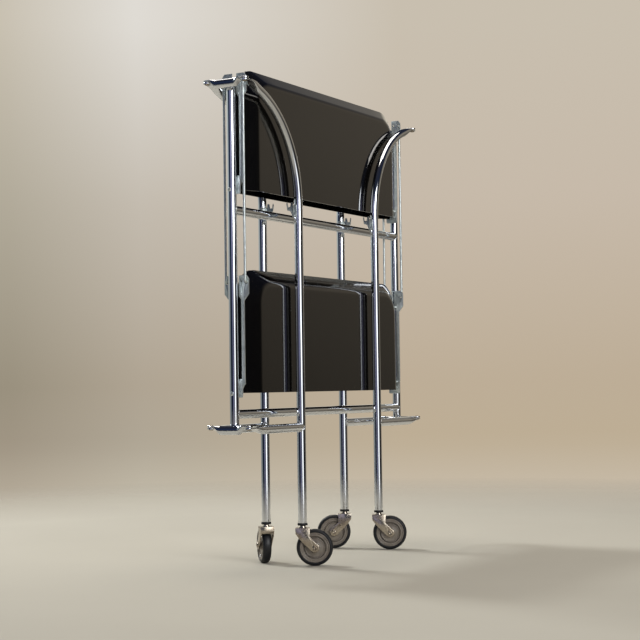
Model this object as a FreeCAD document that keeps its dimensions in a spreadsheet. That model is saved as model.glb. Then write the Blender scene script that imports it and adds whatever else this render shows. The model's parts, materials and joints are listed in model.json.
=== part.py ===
import FreeCAD, Part
import math
import os
import Sketcher
from FreeCAD import Placement, Rotation, Vector

# A folding serving trolley, folded up for storage. Two uprights and two crossbars make a ladder frame in
# the middle. Four legs are gates hinged at the ends of short flat-ended bars, and stand against the frame.
# Two trays, each split along its length, are folded up like closed books between the legs.
# X runs along the trays, Y across them, Z up. The origin is on the floor under the middle of the frame.

DIMENSIONS = {
    # tubes of the frame and legs
    "tube_dia": 16,
    "tube_wall": 1.2,
    "upright_line": 319.5,
    "upright_top": 853,
    "upright_bottom": 245,
    "low_cross_level": 276,
    "high_cross_level": 630.5,
    # the short bars that carry the gate hinges, and the hinges themselves
    "pivot_line": 335.3,
    "pivot_row": 38,
    "high_bar_level": 849,
    "low_bar_level": 249,
    "barrel_half": 18,
    "taper_end": 30,
    "tongue_thick": 3,
    "eye_thick": 3.2,
    "eye_lift": 3.1,
    "eye_dia": 14,
    "eye_neck": 2.5,
    "flat_half": 9.2,
    "rivet_dia": 5,
    "rivet_head_dia": 9,
    "rivet_head": 1.5,
    "running_gap": 0.05,
    # legs
    "leg_line": 153,
    "leg_foot": 77,
    "bend_start": 655,
    "bend_radius": 195,
    "bend_sweep": 71.5,
    "taper_length": 46,
    "rest_notch": 649,
    "saddle_wall": 1.6,
    "plug_length": 28,
    "collar_height": 4.4,
    # castors
    "wheel_dia": 66,
    "tyre_width": 16,
    "rim_dia": 54,
    "trail": 21.5,
    "fork_width": 24.5,
    "fork_slot": 20.4,
    "fork_top": 68.4,
    "fork_sheet": 2.2,
    "fork_boss_dia": 16,
    "stem_dia": 8,
    "axle_dia": 6,
    "hub_width": 19.6,
    # tray halves, measured from the hinge side of a half
    "high_seam": 666.3,
    "low_seam": 312.6,
    "panel_half": 269,
    "panel_rise": 193.5,
    "panel_out": 24.5,
    "rim_half": 304.5,
    "rim_rise": 216.5,
    "rim_gap": 3,
    "tray_sheet": 2,
    "corner_radius": 42,
    "fold_radius": 9,
    # tray hinges, end arms and links
    "hinge_out": 4.75,
    "hinge_rise": 4.2,
    "pin_dia": 4,
    "arm_plane": 306,
    "arm_sheet": 2,
    "arm_start": 14,
    "arm_end": 158,
    "arm_inner": 9,
    "arm_outer": 15,
    "stud_row": 7.5,
    "stud_dia": 4,
    "stud_reach": 10.2,
    "bracket_plane": 309.5,
    "bracket_sheet": 2,
    "bracket_half": 12,
    "bracket_top": 20,
    "bracket_bottom": 12,
    "link_dia": 4.5,
    "link_hole_dia": 6.4,
    "link_plane": 311,
    "link_row": 19.5,
    "link_rise": 188,
    "link_end": 3,
    "screw_dia": 4,
    "screw_drop": 5,
}

# which way each leg stands from the middle (x, y), and the direction in degrees that its castor trails
LEGS = {
    "front_left": (-1, -1, -61.3),
    "front_right": (1, -1, -61.3),
    "rear_left": (-1, 1, 42),
    "rear_right": (1, 1, 118.7),
}
SIDES = {"left": -1, "right": 1}
ROWS = {"front": -1, "rear": 1}
LEVELS = {"upper": "high", "lower": "low"}
# from a leg's line to its hinge line
REACH = "pivot_line - leg_line"
# heights of the studs that hold an arm to its tray's end wall, above the tray's hinge
STUDS = (12, 166)

doc = FreeCAD.newDocument("folding_trolley")
sheet = doc.addObject("Spreadsheet::Sheet", "Dims")
for row, (alias, value) in enumerate(DIMENSIONS.items(), start=1):
    sheet.set(f"A{row}", alias)
    sheet.set(f"B{row}", str(value))
    sheet.setAlias(f"B{row}", alias)
doc.recompute()

parts = []


def words(expression):
    """Puts the sheet's name before each of its words in an expression."""
    out = []
    token = ""
    for letter in expression + " ":
        if letter.isalpha() or letter == "_":
            token += letter
            continue
        out.append(f"Dims.{token}" if token in DIMENSIONS else token)
        out.append(letter)
        token = ""
    return "".join(out).strip()


def plane(body, role):
    """One of a body's own origin planes: XY_Plane, XZ_Plane (its normal is -Y) or YZ_Plane."""
    return next(f for f in body.Origin.OriginFeatures if f.Role == role)


def bind(thing, **properties):
    """Ties properties to expressions; a double underscore stands for the dot in a property's path."""
    for name, expression in properties.items():
        thing.setExpression(name.replace("__", "."), words(str(expression)))


def new_body(label, turn=0, **place):
    """A sub-part built about its own origin, then turned about Z and moved to its place."""
    body = doc.addObject("PartDesign::Body", label)
    body.Label = label
    body.Placement = Placement(Vector(), Rotation(Vector(0, 0, 1), turn))
    bind(body, **{f"Placement__Base__{axis}": expression for axis, expression in place.items()})
    parts.append(body)
    return body


def new_sketch(body, role, lift="0", tilt=None, **offset):
    """A sketch on an origin plane, lifted along its normal and, with tilt, turned about its own Y."""
    sketch = body.newObject("Sketcher::SketchObject", "Sketch")
    sketch.AttachmentSupport = [(plane(body, role), "")]
    sketch.MapMode = "FlatFace"
    if tilt is not None:
        sketch.AttachmentOffset = Placement(Vector(), Rotation(Vector(0, 1, 0), 1))
        bind(sketch, AttachmentOffset__Rotation__Angle=tilt)
    bind(sketch, AttachmentOffset__Base__z=lift)
    bind(sketch, **{f"AttachmentOffset__Base__{axis}": expression for axis, expression in offset.items()})
    return sketch


def fix_point(sketch, geometry, point, x, y):
    """Places one point of a sketch's geometry by two expressions; None leaves that direction free."""
    here = sketch.getPoint(geometry, point)
    for kind, expression, start in (("DistanceX", x, here.x), ("DistanceY", y, here.y)):
        if expression is None:
            continue
        index = sketch.addConstraint(Sketcher.Constraint(kind, -1, 1, geometry, point, start))
        name = f"{kind}_{geometry}_{point}"
        sketch.renameConstraint(index, name)
        bind(sketch, **{f"Constraints__{name}": expression})


def outline(sketch, corners):
    """A closed outline of straight edges through corners given as pairs of expressions."""
    count = len(corners)
    turns = [2 * math.pi * i / count for i in range(count)]
    spots = [Vector(math.cos(turn), math.sin(turn), 0) for turn in turns]
    first = sketch.GeometryCount
    for i in range(count):
        sketch.addGeometry(Part.LineSegment(spots[i], spots[(i + 1) % count]), False)
    for i in range(count):
        sketch.addConstraint(Sketcher.Constraint("Coincident", first + i, 2, first + (i + 1) % count, 1))
    for i, (x, y) in enumerate(corners):
        fix_point(sketch, first + i, 1, x, y)
    return sketch


def circle(sketch, diameter, x="0", y="0"):
    """A circle of a bound diameter with its centre placed by two expressions."""
    index = sketch.addGeometry(Part.Circle(Vector(), Vector(0, 0, 1), 1), False)
    constraint = sketch.addConstraint(Sketcher.Constraint("Diameter", index, 2.0))
    sketch.renameConstraint(constraint, f"diameter_{index}")
    bind(sketch, **{f"Constraints__diameter_{index}": diameter})
    fix_point(sketch, index, 3, x, y)
    return sketch


def ring(sketch, outer, inner, x="0", y="0"):
    """Two circles about one centre, the section of a tube."""
    circle(sketch, outer, x, y)
    return circle(sketch, inner, x, y)


def pad(body, sketch, length, midplane=False, kind="Pad"):
    """A straight extrusion of a sketch along its normal, or half each way with midplane."""
    feature = body.newObject(f"PartDesign::{kind}", kind)
    feature.Profile = sketch
    feature.Midplane = midplane
    bind(feature, Length=length)
    doc.recompute()
    return feature


def pocket(body, sketch, length, midplane=True):
    """A cut that has to take something away: the body's volume is compared."""
    before = body.Shape.Volume
    feature = pad(body, sketch, length, midplane, kind="Pocket")
    if feature.Shape.Volume > before - 1e-3:
        raise ValueError(f"a cut in {body.Label} takes nothing away")
    return feature


def revolve(body, sketch):
    """A full turn about the sketch's vertical axis."""
    feature = body.newObject("PartDesign::Revolution", "Revolution")
    feature.Profile = sketch
    feature.ReferenceAxis = (sketch, ["V_Axis"])
    feature.Angle = 360
    doc.recompute()
    return feature


def loft(body, profile, section, ruled=False, kind="AdditiveLoft"):
    """A solid, or a cut, that runs from one sketch to another."""
    feature = body.newObject(f"PartDesign::{kind}", kind)
    feature.Profile = profile
    feature.Sections = [section]
    feature.Ruled = ruled
    doc.recompute()
    return feature


def sweep(body, section, path):
    """A section carried along all the edges of a path."""
    feature = body.newObject("PartDesign::AdditivePipe", "Pipe")
    feature.Profile = section
    feature.Spine = (path, [f"Edge{i}" for i in range(1, path.GeometryCount + 1)])
    doc.recompute()


def mirror(body, role):
    """Repeats the whole body on the other side of one of its origin planes."""
    feature = body.newObject("PartDesign::Mirrored", "Mirrored")
    feature.TransformMode = "Whole shape"
    feature.MirrorPlane = (plane(body, role), [""])
    body.Tip = feature
    doc.recompute()
    return feature


def fillet(body, radius, chosen):
    """Rounds the edges of the body that the test chosen(edge) picks."""
    base = body.Tip
    names = [f"Edge{i}" for i, edge in enumerate(base.Shape.Edges, start=1) if chosen(edge)]
    feature = body.newObject("PartDesign::Fillet", "Fillet")
    feature.Base = (base, names)
    bind(feature, Radius=radius)
    body.Tip = feature
    doc.recompute()


def is_along(edge, direction):
    """True for a straight edge along a direction."""
    if edge.Curve.TypeId != "Part::GeomLine":
        return False
    return edge.tangentAt(edge.FirstParameter).cross(direction).Length < 1e-6


def ellipse(sketch, half_width, half_height, x="0", y="0"):
    """An ellipse with its long axis along the sketch's X, its size bound by its two ends."""
    index = sketch.addGeometry(Part.Ellipse(Vector(), 2, 1), False)
    sketch.exposeInternalGeometry(index)
    fix_point(sketch, index, 3, x, y)
    fix_point(sketch, index + 1, 1, f"{x} + {half_width}", y)
    fix_point(sketch, index + 2, 1, None, f"{y} + {half_height}")
    return sketch


# ---- frame ----


def upright(label, side):
    """One of the two tall tubes of the frame, with the holes of its bracket screws."""
    body = new_body(label, x=f"{side} * upright_line")
    tube = ring(new_sketch(body, "XY_Plane", "upright_bottom"), "tube_dia", "tube_dia - 2 * tube_wall")
    pad(body, tube, "upright_top - upright_bottom")
    holes = new_sketch(body, "YZ_Plane")
    for level in LEVELS.values():
        circle(holes, "screw_dia", "0", f"{level}_seam + hinge_rise - screw_drop")
    pocket(body, holes, "2 * tube_dia")


def crossbar(label, level):
    """A level tube between the uprights, its ends cut to saddles round them."""
    body = new_body(label, z=level)
    tube = ring(new_sketch(body, "YZ_Plane"), "tube_dia", "tube_dia - 2 * tube_wall")
    pad(body, tube, "2 * upright_line", midplane=True)
    saddles = new_sketch(body, "XY_Plane")
    for side in SIDES.values():
        circle(saddles, "tube_dia", f"{side} * upright_line")
    pocket(body, saddles, "2 * tube_dia")


def flat_bar(label, side, level):
    """A short tube along Y, flattened level with its top at both ends into tongues with a rivet hole."""
    body = new_body(label, x=f"{side} * pivot_line", z=level)
    tongue_top = "tube_dia / 2"
    barrel = ring(new_sketch(body, "XZ_Plane"), "tube_dia", "tube_dia - 2 * tube_wall")
    pad(body, barrel, "2 * barrel_half", midplane=True)
    round_end = circle(new_sketch(body, "XZ_Plane", "barrel_half"), "tube_dia")
    taper_end = new_sketch(body, "XZ_Plane", "taper_end")
    flat_end = ellipse(taper_end, "flat_half", "tongue_thick / 2", y=f"{tongue_top} - tongue_thick / 2")
    loft(body, round_end, flat_end)
    tongue = new_sketch(body, "XY_Plane", f"{tongue_top} - tongue_thick")
    outline(
        tongue,
        [
            ("-eye_dia / 2", "-pivot_row"),
            ("eye_dia / 2", "-pivot_row"),
            ("eye_dia / 2", "-taper_end"),
            ("-eye_dia / 2", "-taper_end"),
        ],
    )
    pad(body, tongue, "tongue_thick")
    eye = circle(new_sketch(body, "XY_Plane", f"{tongue_top} - tongue_thick"), "eye_dia", "0", "-pivot_row")
    pad(body, eye, "tongue_thick")
    pocket(body, circle(new_sketch(body, "XY_Plane"), "rivet_dia", "0", "-pivot_row"), "2 * tube_dia")
    mirror(body, "XZ_Plane")


def tray_bracket(label, side, level):
    """The plate on an upright's inner side that carries the hinge pins of both tray halves."""
    body = new_body(
        label, turn=0 if side > 0 else 180, x=f"{side} * bracket_plane", z=f"{level}_seam + hinge_rise"
    )
    half, top, bottom = "bracket_half", "bracket_top", "-bracket_bottom"
    corners = [(f"-{half}", bottom), (half, bottom), (half, top), (f"-{half}", top)]
    pad(body, outline(new_sketch(body, "YZ_Plane"), corners), "bracket_sheet")
    holes = new_sketch(body, "YZ_Plane")
    for out in ("-hinge_out", "hinge_out"):
        circle(holes, "pin_dia", out, "0")
    circle(holes, "screw_dia", "0", "-screw_drop")
    pocket(body, holes, "4 * bracket_sheet")
    notch_corners = [(f"-{half} / 2", top), ("0", "0.45 * bracket_top"), (f"{half} / 2", top)]
    pocket(body, outline(new_sketch(body, "YZ_Plane"), notch_corners), "4 * bracket_sheet")
    edge_line = DIMENSIONS["bracket_half"] - 1

    def outer_corner(edge):
        return is_along(edge, Vector(1, 0, 0)) and abs(edge.CenterOfMass.y) > edge_line

    fillet(body, "bracket_half / 4", outer_corner)


def round_group(label, spots, stacks, role="YZ_Plane", mirrors=("YZ_Plane",)):
    """Turned pieces: at each spot a stack of (start, length, diameter, bore) along the plane's normal."""
    body = new_body(label)
    for start, length, diameter, bore in stacks:
        sketch = new_sketch(body, role, start)
        for x, y in spots:
            circle(sketch, diameter, x, y)
            if bore:
                circle(sketch, bore, x, y)
        pad(body, sketch, length)
    for mirror_role in mirrors:
        mirror(body, mirror_role)


def fasteners():
    """The bracket screws, the trays' hinge pins and bushes and the gates' rivets, each kind one group."""
    hinge_levels = [f"{level}_seam + hinge_rise" for level in LEVELS.values()]
    screw_spots = [("0", f"{level} - screw_drop") for level in hinge_levels]
    screw_end = "upright_line + tube_dia / 2"
    round_group(
        "bracket_screws",
        screw_spots,
        [
            ("bracket_plane", f"{screw_end} - bracket_plane", "screw_dia", None),
            (screw_end, "2.2", "1.75 * screw_dia", None),
        ],
    )
    pin_spots = [(out, level) for level in hinge_levels for out in ("-hinge_out", "hinge_out")]
    head = "arm_plane - 1"
    pin_length = "bracket_plane + bracket_sheet - arm_plane + 0.1"
    round_group(
        "tray_hinge_pins",
        pin_spots,
        [
            (f"{head} + 0.9", pin_length, "pin_dia", None),
            (head, "0.9", "1.6 * pin_dia", None),
        ],
    )
    bush_start = "(arm_plane + arm_sheet + 0.2)"
    bush = (bush_start, f"bracket_plane - {bush_start}", "2 * pin_dia", "pin_dia")
    round_group("hinge_bushes", pin_spots, [bush])
    rivet_spots = [("pivot_line", "pivot_row")]
    stacks = []
    for level in LEVELS.values():
        top = f"{level}_bar_level + tube_dia / 2"
        under = f"{level}_bar_level + eye_lift - eye_thick / 2 - 0.3"
        stacks.append((under, f"{top} - ({under})", "rivet_dia", None))
        stacks.append((top, "rivet_head", "rivet_head_dia", None))
        stacks.append((f"{under} - rivet_head", "rivet_head", "rivet_head_dia", None))
    round_group("gate_rivets", rivet_spots, stacks, role="XY_Plane", mirrors=("XZ_Plane", "YZ_Plane"))


# ---- legs ----


def flat_eye(body, level, reach):
    """The flat eye at the hinge end of a leg or stay, at a reach towards -X, with its rivet hole."""
    bottom = f"{level} + eye_lift - eye_thick / 2"
    tongue = new_sketch(body, "XY_Plane", bottom)
    near, far = f"-({reach}) + eye_dia / 2 + eye_neck", f"-({reach})"
    corners = [(far, "-eye_dia / 2"), (near, "-eye_dia / 2"), (near, "eye_dia / 2"), (far, "eye_dia / 2")]
    pad(body, outline(tongue, corners), "eye_thick")
    pad(body, circle(new_sketch(body, "XY_Plane", bottom), "eye_dia", far), "eye_thick")
    hole = circle(new_sketch(body, "XY_Plane", f"{level}"), "rivet_dia + 2 * running_gap", far)
    pocket(body, hole, "2 * tube_dia")


def flat_end_sketch(body, level, reach):
    """The flattened section where a leg's or stay's taper meets its eye."""
    sketch = new_sketch(body, "YZ_Plane", f"-({reach}) + eye_dia / 2 + eye_neck")
    return ellipse(sketch, "flat_half", "eye_thick / 2", y=f"{level} + eye_lift")


def leg(label, x, y):
    """A leg tube that bends over at the top towards its hinge and is flattened into an eye."""
    body = new_body(label, turn=0 if x < 0 else 180, x=f"{x} * leg_line", y=f"{y} * pivot_row")
    path = new_sketch(body, "XZ_Plane")
    foot, start, radius = (DIMENSIONS[name] for name in ("leg_foot", "bend_start", "bend_radius"))
    path.addGeometry(Part.LineSegment(Vector(0, foot, 0), Vector(0, start, 0)), False)
    bend = Part.Circle(Vector(-radius, start, 0), Vector(0, 0, 1), radius)
    path.addGeometry(Part.ArcOfCircle(bend, 0, math.radians(DIMENSIONS["bend_sweep"])), False)
    path.addConstraint(Sketcher.Constraint("Coincident", 0, 2, 1, 1))
    fix_point(path, 0, 1, "0", "leg_foot")
    fix_point(path, 0, 2, "0", "bend_start")
    fix_point(path, 1, 3, "-bend_radius", "bend_start")
    fix_point(path, 1, 2, None, "bend_start + bend_radius * sin(bend_sweep)")
    tube = ring(new_sketch(body, "XY_Plane", "leg_foot"), "tube_dia", "tube_dia - 2 * tube_wall")
    sweep(body, tube, path)
    bend_end = new_sketch(
        body,
        "XY_Plane",
        "bend_start + bend_radius * sin(bend_sweep)",
        tilt="-bend_sweep",
        x="bend_radius * (cos(bend_sweep) - 1)",
    )
    loft(body, circle(bend_end, "tube_dia"), flat_end_sketch(body, "high_bar_level", REACH))
    flat_eye(body, "high_bar_level", REACH)


def stay(label, x, y):
    """The short level tube that joins a leg to its lower hinge."""
    body = new_body(label, turn=0 if x < 0 else 180, x=f"{x} * leg_line", y=f"{y} * pivot_row")
    tube_end = f"-({REACH}) + taper_length"
    tube = new_sketch(body, "YZ_Plane", tube_end)
    ring(tube, "tube_dia", "tube_dia - 2 * tube_wall", y="low_bar_level")
    pad(body, tube, f"-({tube_end})")
    saddle = circle(new_sketch(body, "XY_Plane", "low_bar_level"), "tube_dia")
    pocket(body, saddle, "2 * tube_dia")
    round_end = circle(new_sketch(body, "YZ_Plane", tube_end), "tube_dia", y="low_bar_level")
    loft(body, round_end, flat_end_sketch(body, "low_bar_level", REACH))
    flat_eye(body, "low_bar_level", REACH)


def tray_rest(label, x, y):
    """A horned plate on a saddle round the leg; the end arm of an opened tray drops between the horns."""
    turn = 0 if y < 0 else 180
    body = new_body(label, turn=turn, x=f"{x} * leg_line", y=f"{y} * pivot_row", z="rest_notch")
    saddle = ring(new_sketch(body, "XY_Plane", "-20"), "tube_dia + 2 * saddle_wall", "tube_dia")
    pad(body, saddle, "22")
    wide = "(2 * tube_dia)"
    front = [(f"-{wide}", f"-{wide}"), (wide, f"-{wide}"), (wide, "-1"), (f"-{wide}", "-1")]
    pocket(body, outline(new_sketch(body, "XY_Plane"), front), "4 * tube_dia")
    horns = [
        ("tube_dia / 2 + 1", "-19"),
        ("11", "-19"),
        ("16", "-8"),
        ("22.5", "-6"),
        ("24.5", "6"),
        ("23", "8.5"),
        ("21.5", "0"),
        ("16.5", "0"),
        ("14.8", "8"),
        ("11.8", "8.5"),
        ("10.5", "0"),
        ("tube_dia / 2 + 1", "1"),
    ]
    pad(body, outline(new_sketch(body, "YZ_Plane"), horns), "arm_sheet", midplane=True)
    heads = new_sketch(body, "YZ_Plane", "tube_dia / 2 + 1.2")
    for level in ("-15", "-4"):
        circle(heads, "5", "1.7", level)
    pad(body, heads, "1.4")
    mirror(body, "YZ_Plane")


def foot_socket(label, x, y):
    """The black plug in the leg's foot, with a collar below and a bore for the castor's stem."""
    body = new_body(label, x=f"{x} * leg_line", y=f"{y} * pivot_row", z="leg_foot")
    bore, plug, collar = "stem_dia / 2 + running_gap", "tube_dia / 2 - tube_wall", "tube_dia / 2 + 1"
    bottom, top = "-collar_height", "plug_length"
    profile = [(bore, bottom), (collar, bottom), (collar, "0"), (plug, "0"), (plug, top), (bore, top)]
    revolve(body, outline(new_sketch(body, "XZ_Plane"), profile))


# ---- castors ----


def castor_fork(label, x, y, trail_turn):
    """A swivel fork: a stem, a crown plate and two curved cheeks that reach back to the axle."""
    body = new_body(label, turn=trail_turn, x=f"{x} * leg_line", y=f"{y} * pivot_row")
    crown = [
        ("-13", "fork_top"),
        ("-13", "fork_top - 10"),
        ("-5", "fork_top - 21"),
        ("trail - 6", "wheel_dia / 2 - 6"),
        ("trail + 6", "wheel_dia / 2 + 5"),
        ("12.5", "fork_top - 17"),
        ("13", "fork_top"),
    ]
    pad(body, outline(new_sketch(body, "XZ_Plane"), crown), "fork_width", midplane=True)
    axle_level = DIMENSIONS["wheel_dia"] / 2

    def cheek_corner(edge):
        return is_along(edge, Vector(0, 1, 0)) and axle_level + 9 < edge.CenterOfMass.z < axle_level + 29

    fillet(body, "5", cheek_corner)
    boss = circle(new_sketch(body, "XZ_Plane"), "fork_boss_dia", "trail", "wheel_dia / 2")
    pad(body, boss, "fork_width", midplane=True)
    back, front, under = "-11", "wheel_dia", "fork_top - fork_sheet"
    slot = [(back, "0"), (front, "0"), (front, under), (back, under)]
    pocket(body, outline(new_sketch(body, "XZ_Plane"), slot), "fork_slot")
    axle_hole = circle(new_sketch(body, "XZ_Plane"), "axle_dia", "trail", "wheel_dia / 2")
    pocket(body, axle_hole, "2 * fork_width")
    neck_top = "leg_foot - collar_height - 0.2"
    profile = [
        ("0", under),
        ("7", under),
        ("7", "fork_top + 1.2"),
        ("5.2", "fork_top + 1.2"),
        ("5.2", neck_top),
        ("stem_dia / 2", neck_top),
        ("stem_dia / 2", "leg_foot + plug_length - 2"),
        ("0", "leg_foot + plug_length - 2"),
    ]
    revolve(body, outline(new_sketch(body, "XZ_Plane"), profile))


def at_axle(x, y, trail_turn):
    """Where a castor's wheel centre is, for a piece turned about Z with its castor."""
    turn = math.radians(trail_turn)
    return {
        "turn": trail_turn,
        "x": f"{x} * leg_line + {math.cos(turn):.5f} * trail",
        "y": f"{y} * pivot_row + {math.sin(turn):.5f} * trail",
        "z": "wheel_dia / 2",
    }


def turned_about_y(body, profile):
    """A full turn about Y of a half section given as (distance from the axis, place along the axis)."""
    sketch = outline(new_sketch(body, "XY_Plane"), profile)
    return revolve(body, sketch)


def castor_wheel(label, place):
    """A moulded wheel: a long hub, a thin disc with a groove and a rim for the tyre."""
    body = new_body(label, **place)
    bore = "axle_dia / 2 + running_gap"
    half = [
        (bore, "hub_width / 2"),
        ("7", "hub_width / 2"),
        ("8", "tyre_width / 2 - 1.5"),
        ("17", "tyre_width / 2 - 2.5"),
        ("18", "3"),
        ("20.5", "3"),
        ("21.5", "tyre_width / 2 - 1"),
        ("rim_dia / 2", "tyre_width / 2 - 1"),
    ]
    other = [(radius, f"-({place_along})") for radius, place_along in reversed(half)]
    turned_about_y(body, half + other)


def castor_tyre(label, place):
    """The tread band round a wheel, slightly crowned."""
    body = new_body(label, **place)
    half_width = "tyre_width / 2"
    half = [
        ("rim_dia / 2", "tyre_width / 2 - 0.6"),
        ("rim_dia / 2 + 0.8", half_width),
        ("wheel_dia / 2 - 3", half_width),
        ("wheel_dia / 2 - 0.9", "tyre_width / 2 - 2.1"),
        ("wheel_dia / 2", "tyre_width / 2 - 4.8"),
    ]
    other = [(radius, f"-({place_along})") for radius, place_along in reversed(half)]
    turned_about_y(body, half + other)


def castor_axle(label, place):
    """A rivet through both cheeks with a domed head on each side."""
    body = new_body(label, **place)
    head = "fork_width / 2"
    half = [
        ("0", f"{head} + 2.4"),
        ("2.4", f"{head} + 2"),
        ("4.6", f"{head} + 0.6"),
        ("4.6", head),
        ("axle_dia / 2", head),
    ]
    other = [(radius, f"-({place_along})") for radius, place_along in reversed(half)]
    turned_about_y(body, half + other)


# ---- trays ----


def tray_outline(sketch, half, rise, radius, shrink=("0", "0")):
    """A tray's outline seen from the front: square at the seam, rounded at the two upper corners."""
    wide, high = DIMENSIONS[half], DIMENSIONS[rise]
    round_size = DIMENSIONS["corner_radius"]
    lines = [
        ((-wide, 0), (wide, 0)),
        ((wide, 0), (wide, high - round_size)),
        ((wide - round_size, high), (round_size - wide, high)),
        ((-wide, high - round_size), (-wide, 0)),
    ]
    for start, end in lines:
        sketch.addGeometry(Part.LineSegment(Vector(*start, 0), Vector(*end, 0)), False)
    for across, start in ((wide - round_size, 0), (round_size - wide, math.pi / 2)):
        corner = Part.Circle(Vector(across, high - round_size, 0), Vector(0, 0, 1), round_size)
        sketch.addGeometry(Part.ArcOfCircle(corner, start, start + math.pi / 2), False)
    for one, other in ((0, 1), (1, 4), (4, 2), (2, 5), (5, 3), (3, 0)):
        sketch.addConstraint(Sketcher.Constraint("Coincident", one, 2, other, 1))
    half, rise = f"({half} - {shrink[0]})", f"({rise} - {shrink[1]})"
    fix_point(sketch, 0, 1, f"-{half}", "0")
    fix_point(sketch, 0, 2, half, "0")
    fix_point(sketch, 1, 2, half, f"{rise} - {radius}")
    fix_point(sketch, 2, 1, f"{half} - {radius}", rise)
    fix_point(sketch, 2, 2, f"-{half} + {radius}", rise)
    fix_point(sketch, 3, 1, f"-{half}", f"{rise} - {radius}")
    fix_point(sketch, 4, 3, f"{half} - {radius}", None)
    fix_point(sketch, 5, 3, f"-{half} + {radius}", None)
    return sketch


def tray_half(label, row, level):
    """Half a tray in folded sheet: a flat panel with a flared rim on three sides, open at the hinge side."""
    body = new_body(label, turn=0 if row < 0 else 180, z=f"{level}_seam")
    corner, rim_corner = "corner_radius", "(corner_radius + fold_radius)"
    panel = tray_outline(new_sketch(body, "XZ_Plane", "panel_out"), "panel_half", "panel_rise", corner)
    rim = tray_outline(new_sketch(body, "XZ_Plane", "rim_gap"), "rim_half", "rim_rise", rim_corner)
    loft(body, panel, rim, ruled=True)
    floor = new_sketch(body, "XZ_Plane", "panel_out - tray_sheet")
    shrink = ("0.3 * tray_sheet", "0.4 * tray_sheet")
    tray_outline(floor, "panel_half", "panel_rise", corner, shrink)
    opening = new_sketch(body, "XZ_Plane", "rim_gap")
    shrink = ("1.93 * tray_sheet", "1.46 * tray_sheet")
    tray_outline(opening, "rim_half", "rim_rise", rim_corner, shrink)
    loft(body, floor, opening, ruled=True, kind="SubtractiveLoft")

    def border(depth):
        return lambda edge: edge.CenterOfMass.z > 1 and all(
            abs(vertex.Point.y + depth) < 1e-3 for vertex in edge.Vertexes
        )

    sheet_depth = DIMENSIONS["panel_out"] - DIMENSIONS["tray_sheet"]
    fillet(body, "fold_radius", border(DIMENSIONS["panel_out"]))
    fillet(body, "fold_radius - tray_sheet", border(sheet_depth))


def tray_arms(label, row, level):
    """The two zinc arms of a tray half: a hinge eye, a strap up the end and a corner plate for the link."""
    body = new_body(label, turn=0 if row < 0 else 180, z=f"{level}_seam + hinge_rise")
    strap = [
        ("-hinge_out + 3.6", "2.4"),
        ("-arm_inner", "arm_start + 6"),
        ("-arm_inner", "arm_end"),
        ("-arm_inner / 2", "arm_end + 6"),
        ("-arm_inner / 2", "link_rise + 12"),
        ("-link_row - 0.5", "link_rise + 12"),
        ("-link_row - 5", "link_rise + 6"),
        ("-link_row - 5", "arm_end + 10"),
        ("-arm_outer", "arm_end - 2"),
        ("-arm_outer", "arm_start"),
        ("-hinge_out - 2.4", "-3.4"),
    ]
    pad(body, outline(new_sketch(body, "YZ_Plane", "arm_plane"), strap), "arm_sheet")
    eye = circle(new_sketch(body, "YZ_Plane", "arm_plane"), "2.2 * pin_dia", "-hinge_out", "0")
    pad(body, eye, "arm_sheet")
    studs = new_sketch(body, "YZ_Plane", "arm_plane - stud_reach")
    heads = new_sketch(body, "YZ_Plane", "arm_plane + arm_sheet")
    for rise in STUDS:
        circle(studs, "stud_dia", "-stud_row", str(rise))
        circle(heads, "1.4 * stud_dia", "-stud_row", str(rise))
    pad(body, studs, "stud_reach + arm_sheet / 2")
    pad(body, heads, "0.5")
    holes = new_sketch(body, "YZ_Plane", "arm_plane")
    circle(holes, "pin_dia + 2 * running_gap", "-hinge_out", "0")
    circle(holes, "link_hole_dia", "-link_row", "link_rise")
    circle(holes, "3", "-arm_inner", "link_rise + 2")
    pocket(body, holes, "4 * arm_sheet")
    mirror(body, "YZ_Plane")


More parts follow.
